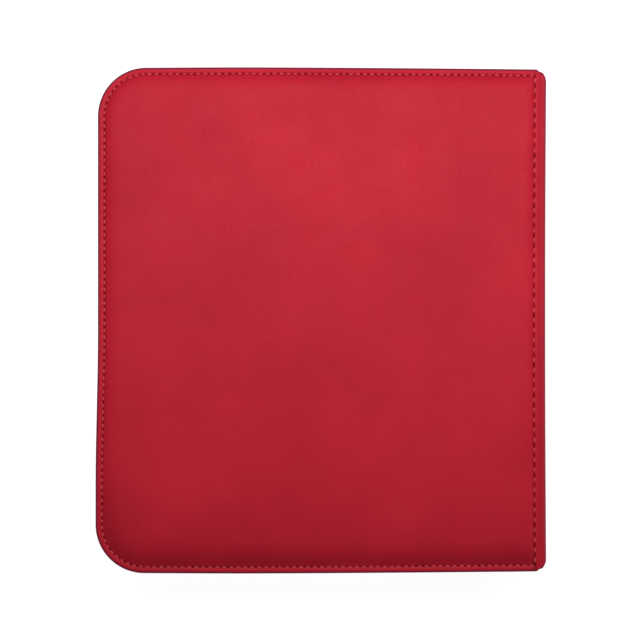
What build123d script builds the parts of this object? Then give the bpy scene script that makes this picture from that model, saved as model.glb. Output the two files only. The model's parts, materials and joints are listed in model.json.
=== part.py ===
"""Zip-up trading card binder with twenty four-pocket pages, lying closed on its front cover.

Frame: millimetres, +Z up. The origin is under the middle of the closed binder, on the surface it
lies on. The spine is at +X and the zipped fore edge at -X. The back cover is on top, its outer
face up. Y runs along the spine, with the head of the pages at +Y.

Each cover is a leatherette skin over foam over greyboard, lined on the inside. The zipper is sewn
under the border of the covers and runs round three sides, from the spine and back to the spine.
The pages are bound to a strip on the inner face of the spine.
"""
from build123d import *
import math
import os

# Overall sizes
BINDER_WIDTH = 214.0        # X, fore edge to the outer face of the spine
BINDER_HEIGHT = 241.0       # Y, head to tail of the covers
BINDER_THICKNESS = 38.0     # Z, closed, over both pads
FORE_CORNER_RADIUS = 23.0
SPINE_SIDE_CORNER_RADIUS = 1.0

# Layers of a cover, from the inside out
LINING = 0.6
BOARD = 2.0
FOAM = 1.9
SKIN = 0.9
BORDER = 2.2                # turned edge of the skin, outside the board

# Plan insets of a cover, from its edge
STITCH_INSET = 2.7
PAD_FOOT_INSET = 3.6
PAD_CROWN_INSET = 11.0
BOARD_INSET = 6.6
SPINE_STITCH_INSET = 5.6    # from the outer face of the spine
BOARD_TO_STITCH = 2.9       # at the spine side
THREAD = 0.5
THREAD_PROUD = 0.2

# Leatherette hinge between a cover and the spine
HINGE_RADIUS = 5.0          # outside of the roll
HINGE_END_STEP = 0.6        # the roll is this much shorter than the cover at each end
HINGE_CORNER_RADIUS = 4.6   # in plan

# Zipper
TAPE = 0.6
TAPE_EDGE_INSET = 1.2       # sewn edge of the tape, under the border
ZIPPER_INSET = 5.5          # outer face of the upright part of the tape
TAPE_HALF_GAP = 1.5         # from the middle of the chain to the edge of each tape
TAPE_END_GAP = 2.5          # from the end of each tape to the lining of the spine
LOOSE_TAPE = 18.0           # end of the back tape's wall that bends as the cover opens
GUSSET_GAP = 0.3            # from the gusset to the tape ends and to the spine
COIL_DEPTH = 2.0
COIL_WIDTH = 1.9
COIL_HALF_GAP = 0.7         # from the middle of the chain to each coil
STOP_LENGTH = 2.0
STOP_GAP = 0.3              # from the end of each coil to its stop

# Slider and pull
SLIDER_LENGTH = 11.0
SLIDER_PLATE = 0.9
SLIDER_CLEARANCE = 0.2
SLIDER_FLANGE = 0.8
SLIDER_TO_STOP = 0.8
POST_LENGTH = 4.0
POST_CLEARANCE = 0.2        # from the post to each coil
BRIDGE_LENGTH = 7.0
BRIDGE_WIDTH = 1.8
BRIDGE_THICKNESS = 0.7
BRIDGE_OPENING = 1.5
PULL_THICKNESS = 1.1
PULL_WIDTH = 7.0
PULL_LENGTH = 31.0          # from the pivot to the free end
PULL_EYE = 4.8              # from the pivot to the far side of the eye
PULL_EYE_WIDTH = 2.4
PULL_TIP_RADIUS = 2.6

# Pages
PAGE_COUNT = 20
PAGE_PITCH = 1.2
SHEET = 0.25
FILM = 0.2                  # clear film over a pocket
POCKET_DEPTH = 0.15
POCKET_WIDTH = 72.0
POCKET_HEIGHT = 98.0
POCKET_COLUMNS = 2
POCKET_ROWS = 2
SEAM = 3.0
POCKET_SLIT = 0.6
GUTTER = 20.0               # bare edge of a page, between its flexible hinge and its pockets
BINDING_STRIP = 1.6
BINDING_END_GAP = 3.0       # the strip is this much longer than a page at each end
PAGE_HINGE = 4.0            # free width of the flexible hinge of each page

# Places worked out from the sizes above
X_FORE = -BINDER_WIDTH / 2
X_SPINE = BINDER_WIDTH / 2
Y_HEAD = BINDER_HEIGHT / 2
Z_MIDDLE = BINDER_THICKNESS / 2
COVER = LINING + BOARD + FOAM + SKIN
Z_BACK_INNER = BINDER_THICKNESS - COVER
Z_BACK_BORDER = Z_BACK_INNER + LINING + BORDER
X_COVER_END = X_SPINE - HINGE_RADIUS
X_STITCH = X_SPINE - SPINE_STITCH_INSET
X_PAD_FOOT = X_STITCH - (PAD_FOOT_INSET - STITCH_INSET)
X_BOARD_END = X_STITCH - BOARD_TO_STITCH
Z_HINGE_CENTRE = Z_BACK_BORDER - HINGE_RADIUS
SPINE_HALF_HEIGHT = Z_HINGE_CENTRE - Z_MIDDLE
X_SPINE_BOARD_OUTER = X_SPINE - SKIN
X_SPINE_LINING_OUTER = X_SPINE_BOARD_OUTER - BOARD
X_SPINE_INNER = X_SPINE_LINING_OUTER - LINING
Y_SPINE_END = Y_HEAD - HINGE_END_STEP - HINGE_CORNER_RADIUS
LINING_ROLL_RADIUS = HINGE_RADIUS - BORDER
X_LINING_END = X_SPINE_LINING_OUTER - LINING_ROLL_RADIUS
Y_LINING_END = Y_HEAD - BOARD_INSET
X_TAPE_END = X_SPINE_INNER - TAPE_END_GAP
X_STOP = X_TAPE_END - STOP_GAP - STOP_LENGTH
X_COIL_END = X_STOP - STOP_GAP
X_SLIDER_END = X_STOP - SLIDER_TO_STOP
X_LOOSE_TAPE = X_SLIDER_END - SLIDER_LENGTH - LOOSE_TAPE / 3
X_BINDING = X_SPINE_INNER - BINDING_STRIP
X_PAGE = X_BINDING - PAGE_HINGE
X_PAGE_HINGE = X_BINDING - PAGE_HINGE / 2
PAGE_WIDTH = GUTTER + POCKET_COLUMNS * (POCKET_WIDTH + SEAM) + SEAM
PAGE_HEIGHT = POCKET_ROWS * (POCKET_HEIGHT + SEAM) + SEAM


def box_between(low, high):
    """A box from its lowest corner to its highest."""
    size = [b - a for a, b in zip(low, high)]
    middle = [(a + b) / 2 for a, b in zip(low, high)]
    return Pos(*middle) * Box(*size)


def cover_outline(inset, x_end, corner=0.0):
    """Plan of a cover drawn in by inset, with round fore corners, ending at x_end by the spine."""
    x_low = X_FORE + inset
    half = Y_HEAD - inset
    plan = Pos((x_low + x_end) / 2, 0) * Rectangle(x_end - x_low, 2 * half)
    fore = plan.vertices().sort_by(Axis.X)[:2]
    plan = fillet(fore, FORE_CORNER_RADIUS - inset)
    if corner:
        spine_side = plan.vertices().sort_by(Axis.X)[-2:]
        plan = fillet(spine_side, corner)
    return plan


def slab(plan, z_low, z_high):
    """The plan as a flat solid between two heights."""
    return extrude(Pos(0, 0, z_low) * plan, z_high - z_low)


def open_band(inset_outer, inset_inner, x_end):
    """Plan of a band round the fore edge, head and tail, open towards the spine."""
    past_the_end = x_end + HINGE_RADIUS
    return cover_outline(inset_outer, x_end) - cover_outline(inset_inner, past_the_end)


def to_front(solid):
    """A piece of the back half of the binder, mirrored to the front half."""
    return mirror(solid, about=Plane.XY.offset(Z_MIDDLE))


# Covers

def cover_board():
    plan = cover_outline(BOARD_INSET, X_BOARD_END)
    low = Z_BACK_INNER + LINING
    return slab(plan, low, low + BOARD)


def cover_foam():
    """Foam pad on the board, with edges that slope under the skin."""
    low = Z_BACK_INNER + LINING + BOARD
    slope = PAD_CROWN_INSET - PAD_FOOT_INSET
    crown_inset = max(PAD_CROWN_INSET, BOARD_INSET + FOAM)
    foot = Pos(0, 0, low) * cover_outline(BOARD_INSET, X_BOARD_END)
    crown = Pos(0, 0, low + FOAM) * cover_outline(crown_inset, X_PAD_FOOT - slope)
    return loft([foot, crown], ruled=True)


def cover_skin(board, foam):
    """Leatherette: a flat border that is sewn to the tape, and the raised pad over the foam."""
    border_low = Z_BACK_INNER + LINING
    plan = cover_outline(0, X_COVER_END, SPINE_SIDE_CORNER_RADIUS)
    border = slab(plan, border_low, Z_BACK_BORDER)
    slope = PAD_CROWN_INSET - PAD_FOOT_INSET
    foot = Pos(0, 0, Z_BACK_BORDER) * cover_outline(PAD_FOOT_INSET, X_PAD_FOOT)
    crown_plan = cover_outline(PAD_CROWN_INSET, X_PAD_FOOT - slope)
    crown = Pos(0, 0, BINDER_THICKNESS) * crown_plan
    return border + loft([foot, crown], ruled=True) - board - foam


def cover_lining():
    plan = cover_outline(BOARD_INSET, X_LINING_END)
    return slab(plan, Z_BACK_INNER, Z_BACK_INNER + LINING)


def cover_stitching():
    """Thread round a cover: three sides along its edge, and the fourth beside the spine."""
    half = THREAD / 2
    outer = cover_outline(STITCH_INSET - half, X_STITCH + half)
    inner = cover_outline(STITCH_INSET + half, X_STITCH - half)
    return slab(outer - inner, Z_BACK_BORDER, Z_BACK_BORDER + THREAD_PROUD)


# Hinges and spine

def quarter_roll(centre_x, radius, thickness, half_length):
    """A sheet rolled through a quarter turn about a line along Y, from upright to level."""
    sector = Circle(radius) - Circle(radius - thickness)
    sector &= Pos(radius / 2, radius / 2) * Rectangle(radius, radius)
    section = Plane((centre_x, half_length, Z_HINGE_CENTRE), x_dir=(1, 0, 0), z_dir=(0, -1, 0)) * sector
    return extrude(section, 2 * half_length)


def hinge_skin():
    half = Y_HEAD - HINGE_END_STEP
    roll = quarter_roll(X_COVER_END, HINGE_RADIUS, SKIN, half)
    width = 2 * HINGE_RADIUS
    plan = Pos(X_SPINE - width / 2, 0) * Rectangle(width, 2 * half)
    plan = fillet(plan.vertices().sort_by(Axis.X)[-2:], HINGE_CORNER_RADIUS)
    return roll & slab(plan, Z_MIDDLE, BINDER_THICKNESS)


def hinge_lining():
    return quarter_roll(X_LINING_END, LINING_ROLL_RADIUS, LINING, Y_LINING_END)


def spine_layer(x_low, x_high, y_end, end_gap=0.0):
    half = SPINE_HALF_HEIGHT - end_gap
    return box_between((x_low, -y_end, Z_MIDDLE - half), (x_high, y_end, Z_MIDDLE + half))


# Zipper

def zipper_tape():
    """Woven tape: a sewn edge under the border of the cover, then an upright wall to the coil."""
    sewn = open_band(TAPE_EDGE_INSET, ZIPPER_INSET + TAPE, X_TAPE_END)
    wall = open_band(ZIPPER_INSET, ZIPPER_INSET + TAPE, X_TAPE_END)
    sewn_edge = slab(sewn, Z_BACK_INNER, Z_BACK_INNER + LINING)
    return sewn_edge + slab(wall, Z_MIDDLE + TAPE_HALF_GAP, Z_BACK_INNER + LINING)


def zipper_coil():
    band = open_band(ZIPPER_INSET - COIL_DEPTH, ZIPPER_INSET, X_COIL_END)
    low = Z_MIDDLE + COIL_HALF_GAP
    return slab(band, low, low + COIL_WIDTH)


def loose_ends(solid, x_end):
    """The two ends of the back tape's wall, or of its coil, that bend as the back cover opens."""
    region = box_between((X_LOOSE_TAPE, -Y_HEAD, Z_MIDDLE), (x_end, Y_HEAD, Z_BACK_INNER))
    return solid & region


def zipper_stops():
    """A stop across both coils at each end of the zipper."""
    half = COIL_HALF_GAP + COIL_WIDTH
    y_outer = Y_HEAD - ZIPPER_INSET + COIL_DEPTH
    y_inner = Y_HEAD - ZIPPER_INSET
    x_end = X_STOP + STOP_LENGTH
    head = box_between((X_STOP, y_inner, Z_MIDDLE - half), (x_end, y_outer, Z_MIDDLE + half))
    return Compound(children=[head, mirror(head, about=Plane.XZ)])


def end_gusset():
    """Cloth between the end of the tapes and the spine, at the head."""
    y_outer = Y_HEAD - ZIPPER_INSET
    low = (X_TAPE_END + GUSSET_GAP, y_outer - TAPE, COVER)
    high = (X_SPINE_INNER - GUSSET_GAP, y_outer, Z_BACK_INNER)
    return box_between(low, high)


# Slider and pull, on the tail side of the binder

Y_COIL_OUTER = -(Y_HEAD - ZIPPER_INSET) - COIL_DEPTH
Y_WALL_OUTER = -(Y_HEAD - ZIPPER_INSET)
Y_WALL_INNER = Y_WALL_OUTER + TAPE
Y_PLATE_INNER = Y_COIL_OUTER - SLIDER_CLEARANCE
Y_PLATE_OUTER = Y_PLATE_INNER - SLIDER_PLATE
Y_PULL = Y_PLATE_OUTER - BRIDGE_OPENING / 2
X_SLIDER_START = X_SLIDER_END - SLIDER_LENGTH
X_PULL = (X_SLIDER_START + X_SLIDER_END) / 2
CHANNEL_HALF = COIL_HALF_GAP + COIL_WIDTH + SLIDER_CLEARANCE
SLIDER_HALF = CHANNEL_HALF + SLIDER_FLANGE


def zipper_slider():
    x_low, x_high = X_SLIDER_START, X_SLIDER_END
    z_low, z_high = Z_MIDDLE - SLIDER_HALF, Z_MIDDLE + SLIDER_HALF
    y_slot = Y_WALL_OUTER - SLIDER_CLEARANCE
    shell = box_between((x_low, Y_PLATE_OUTER, z_low), (x_high, y_slot, z_high))
    shell = fillet(shell.edges().filter_by(Axis.Y), SLIDER_FLANGE)
    channel_low = (x_low, Y_PLATE_INNER, Z_MIDDLE - CHANNEL_HALF)
    channel_high = (x_high, y_slot, Z_MIDDLE + CHANNEL_HALF)
    shell -= box_between(channel_low, channel_high)
    y_back = Y_WALL_INNER + SLIDER_CLEARANCE
    back_plate = box_between((x_low, y_back, z_low), (x_high, y_back + SLIDER_PLATE, z_high))
    back_plate = fillet(back_plate.edges().filter_by(Axis.Y), SLIDER_FLANGE)
    post_half = COIL_HALF_GAP - POST_CLEARANCE
    post_low = (x_high - POST_LENGTH, Y_PLATE_INNER, Z_MIDDLE - post_half)
    post = box_between(post_low, (x_high, y_back, Z_MIDDLE + post_half))
    post = fillet(post.edges().filter_by(Axis.Y), post_half * 0.9)
    return shell + back_plate + post + slider_bridge()


def slider_bridge():
    """The loop on the slider's face that the eye of the pull hangs on."""
    half_length, half_width = BRIDGE_LENGTH / 2, BRIDGE_WIDTH / 2
    top = Y_PLATE_OUTER - BRIDGE_OPENING - BRIDGE_THICKNESS
    low = (X_PULL - half_length, top, Z_MIDDLE - half_width)
    high = (X_PULL + half_length, Y_PLATE_OUTER, Z_MIDDLE + half_width)
    bridge = box_between(low, high)
    ends = bridge.edges().filter_by(Axis.Z).group_by(Axis.Y)[0]
    bridge = fillet(ends, BRIDGE_OPENING)
    inner = half_length - BRIDGE_THICKNESS - BRIDGE_THICKNESS / 2
    hole_low = (X_PULL - inner, Y_PLATE_OUTER - BRIDGE_OPENING, low[2])
    return bridge - box_between(hole_low, (X_PULL + inner, Y_PLATE_OUTER, high[2]))


def zipper_pull():
    """Flat tab with an eye. The end bar of the eye is round, on the pivot line."""
    half = PULL_THICKNESS / 2
    x_tip = X_PULL - PULL_LENGTH
    tab = box_between(
        (x_tip, Y_PULL - half, Z_MIDDLE - PULL_WIDTH / 2),
        (X_PULL, Y_PULL + half, Z_MIDDLE + PULL_WIDTH / 2),
    )
    corners = tab.edges().filter_by(Axis.Y).group_by(Axis.X)[0]
    tab = fillet(corners, PULL_TIP_RADIUS)
    eye_low = (X_PULL - PULL_EYE, Y_PULL - half, Z_MIDDLE - PULL_EYE_WIDTH / 2)
    eye_high = (X_PULL, Y_PULL + half, Z_MIDDLE + PULL_EYE_WIDTH / 2)
    tab -= box_between(eye_low, eye_high)
    bar = Pos(X_PULL, Y_PULL, Z_MIDDLE) * Cylinder(half, PULL_WIDTH)
    return tab + bar


# Pages

def page_height(number):
    """Height of the middle of a page, counted from 1 at the front cover."""
    return Z_MIDDLE + (number - (PAGE_COUNT + 1) / 2) * PAGE_PITCH


def pocket_film(side):
    """Clear film on one side of a sheet at z = 0: pockets that open towards the spine."""
    x_low = X_PAGE - PAGE_WIDTH
    x_high = X_PAGE - GUTTER
    half = PAGE_HEIGHT / 2
    face = SHEET / 2
    depth = POCKET_DEPTH + FILM
    film = box_between((x_low, -half, face), (x_high, half, face + depth))
    for column in range(POCKET_COLUMNS):
        x_pocket = x_low + SEAM + column * (POCKET_WIDTH + SEAM)
        x_mouth = x_pocket + POCKET_WIDTH
        innermost = column == POCKET_COLUMNS - 1
        x_end = x_high if innermost else x_mouth
        for row in range(POCKET_ROWS):
            y_low = -half + SEAM + row * (POCKET_HEIGHT + SEAM)
            y_high = y_low + POCKET_HEIGHT
            film -= box_between((x_pocket, y_low, face), (x_end, y_high, face + POCKET_DEPTH))
            if not innermost:
                slit_low = (x_mouth - POCKET_SLIT, y_low, face)
                film -= box_between(slit_low, (x_mouth, y_high, face + depth))
    return film if side > 0 else mirror(film, about=Plane.XY)


def page():
    """One page at z = 0: a black sheet with a clear pocket film on each side."""
    half = PAGE_HEIGHT / 2
    low = (X_PAGE - PAGE_WIDTH, -half, -SHEET / 2)
    sheet = box_between(low, (X_PAGE, half, SHEET / 2))
    return Compound(children=[sheet, pocket_film(1), pocket_film(-1)])


def page_hinges():
    """The flexible bound edge of each page, from the page to the binding strip."""
    half = PAGE_HEIGHT / 2
    strips = []
    for number in range(1, PAGE_COUNT + 1):
        middle = page_height(number)
        low = (X_PAGE, -half, middle - SHEET / 2)
        strips.append(box_between(low, (X_BINDING, half, middle + SHEET / 2)))
    return Compound(children=strips)


def binding_strip():
    half = PAGE_HEIGHT / 2 + BINDING_END_GAP
    stack = (PAGE_COUNT - 1) / 2 * PAGE_PITCH + SHEET
    height = min(stack, SPINE_HALF_HEIGHT)
    low = (X_BINDING, -half, Z_MIDDLE - height)
    return box_between(low, (X_SPINE_INNER, half, Z_MIDDLE + height))


def build():
    """Every node of the binder by name."""
    board, foam = cover_board(), cover_foam()
    back = {
        "cover_skin": cover_skin(board, foam),
        "cover_foam": foam,
        "cover_board": board,
        "cover_lining": cover_lining(),
        "cover_stitching": cover_stitching(),
        "hinge_skin": hinge_skin(),
        "hinge_lining": hinge_lining(),
        "zipper_tape": zipper_tape(),
        "zipper_coil": zipper_coil(),
    }
    nodes = {}
    for name, solid in back.items():
        nodes["back_" + name] = solid
        nodes["front_" + name] = to_front(solid)
    for piece, x_end in (("tape", X_TAPE_END), ("coil", X_COIL_END)):
        whole = back["zipper_" + piece]
        ends = loose_ends(whole, x_end)
        nodes["back_zipper_" + piece] = whole - ends
        nodes[f"back_{piece}_ends"] = ends
    nodes["spine_skin"] = spine_layer(X_SPINE_BOARD_OUTER, X_SPINE, Y_SPINE_END)
    nodes["spine_board"] = spine_layer(
        X_SPINE_LINING_OUTER, X_SPINE_BOARD_OUTER, Y_SPINE_END - SKIN, LINING
    )
    nodes["spine_lining"] = spine_layer(X_SPINE_INNER, X_SPINE_LINING_OUTER, Y_SPINE_END)
    nodes["binding_strip"] = binding_strip()
    nodes["page_hinges"] = page_hinges()
    nodes["zipper_stops"] = zipper_stops()
    nodes["head_gusset"] = end_gusset()
    nodes["tail_gusset"] = mirror(end_gusset(), about=Plane.XZ)
    nodes["zipper_slider"] = zipper_slider()
    nodes["zipper_pull"] = zipper_pull()
    for number in range(1, PAGE_COUNT + 1):
        nodes[f"page_{number:02d}"] = Pos(0, 0, page_height(number)) * page()
    return nodes


os.makedirs("parts", exist_ok=True)
for node, shape in build().items():
    export_step(shape, f"parts/{node}.step")
hinge_axis_inset = HINGE_RADIUS * (1 - math.pi / 4)
print("hinge axis x, back z:", X_SPINE - hinge_axis_inset, Z_BACK_BORDER - hinge_axis_inset)
print("page hinge x:", X_PAGE_HINGE, "heights of the first and last:", page_height(1), page_height(PAGE_COUNT))
print("pull pivot:", X_PULL, Y_PULL, "slider:", X_SLIDER_START, X_SLIDER_END)
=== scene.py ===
"""Looks of a zip-up trading card binder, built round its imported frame.

The back cover is modelled in place and the front cover is its mirror image. Sizes are in metres.
Those that the frame's boxes don't give are written in millimetres at the top and scaled by MM.
"""

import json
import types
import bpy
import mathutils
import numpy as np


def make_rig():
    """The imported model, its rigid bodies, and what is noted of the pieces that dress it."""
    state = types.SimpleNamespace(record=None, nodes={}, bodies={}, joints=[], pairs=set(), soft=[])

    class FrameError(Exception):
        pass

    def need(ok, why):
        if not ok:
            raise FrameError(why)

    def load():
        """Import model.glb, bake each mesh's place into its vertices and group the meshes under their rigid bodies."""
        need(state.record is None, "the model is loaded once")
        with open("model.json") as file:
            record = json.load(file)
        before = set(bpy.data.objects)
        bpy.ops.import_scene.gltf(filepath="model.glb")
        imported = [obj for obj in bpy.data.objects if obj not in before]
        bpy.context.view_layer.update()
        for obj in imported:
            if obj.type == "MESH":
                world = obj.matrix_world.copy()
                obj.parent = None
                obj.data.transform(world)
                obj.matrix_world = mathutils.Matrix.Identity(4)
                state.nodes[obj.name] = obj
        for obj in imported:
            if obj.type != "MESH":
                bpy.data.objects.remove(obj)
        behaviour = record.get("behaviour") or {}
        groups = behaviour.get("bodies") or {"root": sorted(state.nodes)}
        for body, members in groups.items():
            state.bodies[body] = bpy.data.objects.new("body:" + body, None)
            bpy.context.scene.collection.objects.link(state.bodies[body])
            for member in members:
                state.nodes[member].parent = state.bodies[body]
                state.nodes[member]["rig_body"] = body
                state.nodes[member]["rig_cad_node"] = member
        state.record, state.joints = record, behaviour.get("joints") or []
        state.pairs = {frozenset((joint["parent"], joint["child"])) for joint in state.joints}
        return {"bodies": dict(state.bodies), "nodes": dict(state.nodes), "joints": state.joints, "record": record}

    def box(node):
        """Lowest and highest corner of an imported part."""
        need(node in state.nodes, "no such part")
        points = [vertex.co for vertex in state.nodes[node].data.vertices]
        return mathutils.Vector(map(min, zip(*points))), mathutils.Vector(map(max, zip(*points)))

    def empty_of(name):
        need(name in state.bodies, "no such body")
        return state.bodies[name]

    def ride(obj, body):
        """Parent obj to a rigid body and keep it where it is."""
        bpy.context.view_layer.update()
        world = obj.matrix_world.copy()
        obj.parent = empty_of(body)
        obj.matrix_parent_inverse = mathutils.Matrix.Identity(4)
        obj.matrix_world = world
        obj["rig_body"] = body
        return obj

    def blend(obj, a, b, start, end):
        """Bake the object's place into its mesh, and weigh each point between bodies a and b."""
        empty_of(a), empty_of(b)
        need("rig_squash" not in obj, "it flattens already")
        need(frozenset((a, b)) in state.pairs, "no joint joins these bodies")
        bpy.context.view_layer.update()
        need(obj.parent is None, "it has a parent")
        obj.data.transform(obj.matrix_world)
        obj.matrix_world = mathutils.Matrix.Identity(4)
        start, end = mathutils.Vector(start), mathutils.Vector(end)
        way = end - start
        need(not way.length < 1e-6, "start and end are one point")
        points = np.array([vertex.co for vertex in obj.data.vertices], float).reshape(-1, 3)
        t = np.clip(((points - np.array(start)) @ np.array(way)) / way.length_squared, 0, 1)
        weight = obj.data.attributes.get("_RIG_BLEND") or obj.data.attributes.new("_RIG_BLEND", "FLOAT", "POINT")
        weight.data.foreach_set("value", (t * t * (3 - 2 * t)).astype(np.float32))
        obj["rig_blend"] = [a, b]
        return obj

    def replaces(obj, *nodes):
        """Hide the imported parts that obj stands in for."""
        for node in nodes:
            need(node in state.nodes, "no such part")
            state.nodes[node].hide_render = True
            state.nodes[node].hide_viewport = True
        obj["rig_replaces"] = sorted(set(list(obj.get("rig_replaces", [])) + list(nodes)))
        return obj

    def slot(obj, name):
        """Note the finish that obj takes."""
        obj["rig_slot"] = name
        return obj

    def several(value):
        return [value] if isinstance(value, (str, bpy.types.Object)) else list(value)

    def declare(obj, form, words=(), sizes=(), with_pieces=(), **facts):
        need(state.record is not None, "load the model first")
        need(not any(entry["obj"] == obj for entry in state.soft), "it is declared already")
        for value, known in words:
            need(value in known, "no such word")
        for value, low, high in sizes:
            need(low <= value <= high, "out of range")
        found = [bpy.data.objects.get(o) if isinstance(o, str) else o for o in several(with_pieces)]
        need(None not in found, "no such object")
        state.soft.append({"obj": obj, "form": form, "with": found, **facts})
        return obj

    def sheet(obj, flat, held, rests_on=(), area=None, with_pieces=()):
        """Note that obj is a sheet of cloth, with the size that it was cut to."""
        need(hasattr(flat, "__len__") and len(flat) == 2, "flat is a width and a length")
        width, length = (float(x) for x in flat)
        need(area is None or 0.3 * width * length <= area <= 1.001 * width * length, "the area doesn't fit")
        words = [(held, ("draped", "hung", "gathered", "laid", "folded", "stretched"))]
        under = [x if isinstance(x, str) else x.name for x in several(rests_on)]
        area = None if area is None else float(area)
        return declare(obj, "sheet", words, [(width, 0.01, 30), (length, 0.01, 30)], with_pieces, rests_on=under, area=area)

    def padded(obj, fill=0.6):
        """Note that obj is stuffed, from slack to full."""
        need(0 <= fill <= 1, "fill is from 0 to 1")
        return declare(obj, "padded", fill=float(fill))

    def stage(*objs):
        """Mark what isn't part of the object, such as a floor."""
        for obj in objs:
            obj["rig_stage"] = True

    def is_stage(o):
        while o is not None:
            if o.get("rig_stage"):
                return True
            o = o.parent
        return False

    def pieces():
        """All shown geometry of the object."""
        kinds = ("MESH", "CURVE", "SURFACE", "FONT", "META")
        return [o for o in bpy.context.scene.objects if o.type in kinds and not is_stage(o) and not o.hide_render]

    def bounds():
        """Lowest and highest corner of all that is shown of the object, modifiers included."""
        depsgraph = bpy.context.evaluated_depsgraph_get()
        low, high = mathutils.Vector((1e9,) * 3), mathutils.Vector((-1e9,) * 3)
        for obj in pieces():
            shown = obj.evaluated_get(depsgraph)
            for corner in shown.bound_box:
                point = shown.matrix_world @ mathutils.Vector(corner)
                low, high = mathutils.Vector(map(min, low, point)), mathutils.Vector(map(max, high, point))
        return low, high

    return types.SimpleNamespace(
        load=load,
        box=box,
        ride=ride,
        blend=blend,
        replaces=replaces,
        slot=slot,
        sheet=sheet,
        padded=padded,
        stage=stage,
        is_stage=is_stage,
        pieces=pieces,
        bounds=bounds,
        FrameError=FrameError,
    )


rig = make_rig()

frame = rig.load()
cad_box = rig.bounds()

import json
import math

import bmesh
import bpy
import numpy as np
from mathutils import Vector, noise

MM = 0.001
nodes = frame["nodes"]

# Places from the frame
SKIN_LOW, SKIN_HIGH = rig.box("back_cover_skin")
SPINE_LOW, SPINE_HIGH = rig.box("spine_skin")
SPINE_FACE = {"back": SPINE_HIGH.z, "front": SPINE_LOW.z}
TAPE_LOW, TAPE_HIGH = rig.box("back_zipper_tape")
ENDS_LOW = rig.box("back_tape_ends")[0]
COIL_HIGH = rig.box("front_zipper_coil")[1]
BOARD_LOW, BOARD_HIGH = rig.box("back_cover_board")
LINING_LOW, LINING_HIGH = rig.box("back_cover_lining")
PAGE_LOW, PAGE_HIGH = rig.box("page_01")
MIDDLE = (cad_box[0].z + cad_box[1].z) / 2
CROWN = SKIN_HIGH.z
X_FORE = SKIN_LOW.x
X_SPINE = SPINE_HIGH.x
HALF = SKIN_HIGH.y

# Cover
FORE_RADIUS = 23.0 * MM
STITCH_INSET = 3.1 * MM
SPINE_STITCH_INSET = 5.6 * MM
BORDER_TOP = 35.4 * MM
BORDER_UNDER = SKIN_LOW.z
PANEL_END_INSET = 3.7 * MM          # end of the cover's leatherette, from the spine's face
PANEL_CORNER = 1.5 * MM
PAD_FOOT = 0.5 * MM                 # from the stitches to the foot of the pad
SKIN = 0.9 * MM
THIN_SKIN = 0.8 * SKIN              # of hinge and spine, pulled tighter
X_STITCH = X_SPINE - SPINE_STITCH_INSET
X_PANEL_END = X_SPINE - PANEL_END_INSET
FLARE = 1.15 * MM                   # at the tail of the fore edge
WAIST = 0.5 * MM                    # halfway along the spine
FOLD_DEPTH = 0.35 * MM              # of the gathered leatherette at the spine's corners

# Stitching: needle holes a side, and mesh columns between two holes
HEAD_STITCHES, CORNER_STITCHES, FORE_STITCHES, SPINE_STITCHES = 56, 10, 60, 49
COLUMNS, SPINE_COLUMNS = 6, 8
SPINE_CORNER_COLUMNS = 4
HOLE_SHAPE = (0.6, 1.0, 0.6)                    # depth of a needle hole at each column over it
SPINE_HOLE_SHAPE = (0.45, 0.9, 0.9, 0.9, 0.45)
HOLE_DEPTH = 0.5 * MM
THREAD_CLEAR, SPINE_THREAD_CLEAR = 0.75 * MM, 1.3 * MM
THREAD_RADIUS = 0.26 * MM


def smooth(t):
    """A smooth step from 0 to 1."""
    t = np.clip(t, 0, 1)
    return t * t * (3 - 2 * t)


def bell(distance, width):
    """1 at no distance, fading to 0 over about two widths."""
    return np.exp(-(distance / width) ** 2)


# Meshes

def make_piece(name, vertices, faces, body=None, materials=()):
    """A mesh object that rides on a body."""
    mesh = bpy.data.meshes.new(name)
    mesh.from_pydata(np.asarray(vertices, float).tolist(), [], faces)
    mesh.validate()
    mesh.polygons.foreach_set("use_smooth", [True] * len(mesh.polygons))
    piece = bpy.data.objects.new(name, mesh)
    bpy.context.scene.collection.objects.link(piece)
    for finish in materials:
        mesh.materials.append(finish)
    if body:
        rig.ride(piece, body)
    return piece


def add_attribute(piece, name, values):
    attribute = piece.data.attributes.new(name, "FLOAT", "POINT")
    attribute.data.foreach_set("value", np.asarray(values, np.float32))


def add_uv(piece, coordinates):
    """A UV map from one pair of coordinates for each vertex."""
    layer = piece.data.uv_layers.new(name="UVMap")
    index = np.empty(len(piece.data.loops), int)
    piece.data.loops.foreach_get("vertex_index", index)
    layer.data.foreach_set("uv", np.asarray(coordinates, np.float32)[index].ravel())


def mirrored(vertices, faces):
    """The same mesh mirrored from the back half of the binder to the front half."""
    vertices = np.array(vertices, float)
    vertices[:, 2] = 2 * MIDDLE - vertices[:, 2]
    return vertices, flipped(faces)


def both_sides(kind, vertices, faces, materials, attributes=None, uv=None):
    """A piece for the back cover and its mirror image for the front cover."""
    pieces = {}
    for side in ("back", "front"):
        shape = (vertices, faces) if side == "back" else mirrored(vertices, faces)
        piece = make_piece(f"{side}_{kind}", *shape, materials=materials)
        for name, values in (attributes or {}).items():
            add_attribute(piece, name, values)
        if uv is not None:
            add_uv(piece, uv)
        pieces[side] = piece
    return pieces


def flipped(faces):
    return [tuple(reversed(face)) for face in faces]


def grid_faces(rows, columns, start=0):
    """Quads over a grid of vertices stored row by row."""
    faces = []
    for row in range(rows - 1):
        below = start + row * columns
        above = below + columns
        for column in range(columns - 1):
            faces.append((below + column, below + column + 1, above + column + 1, above + column))
    return faces


# Plan of a cover

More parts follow.
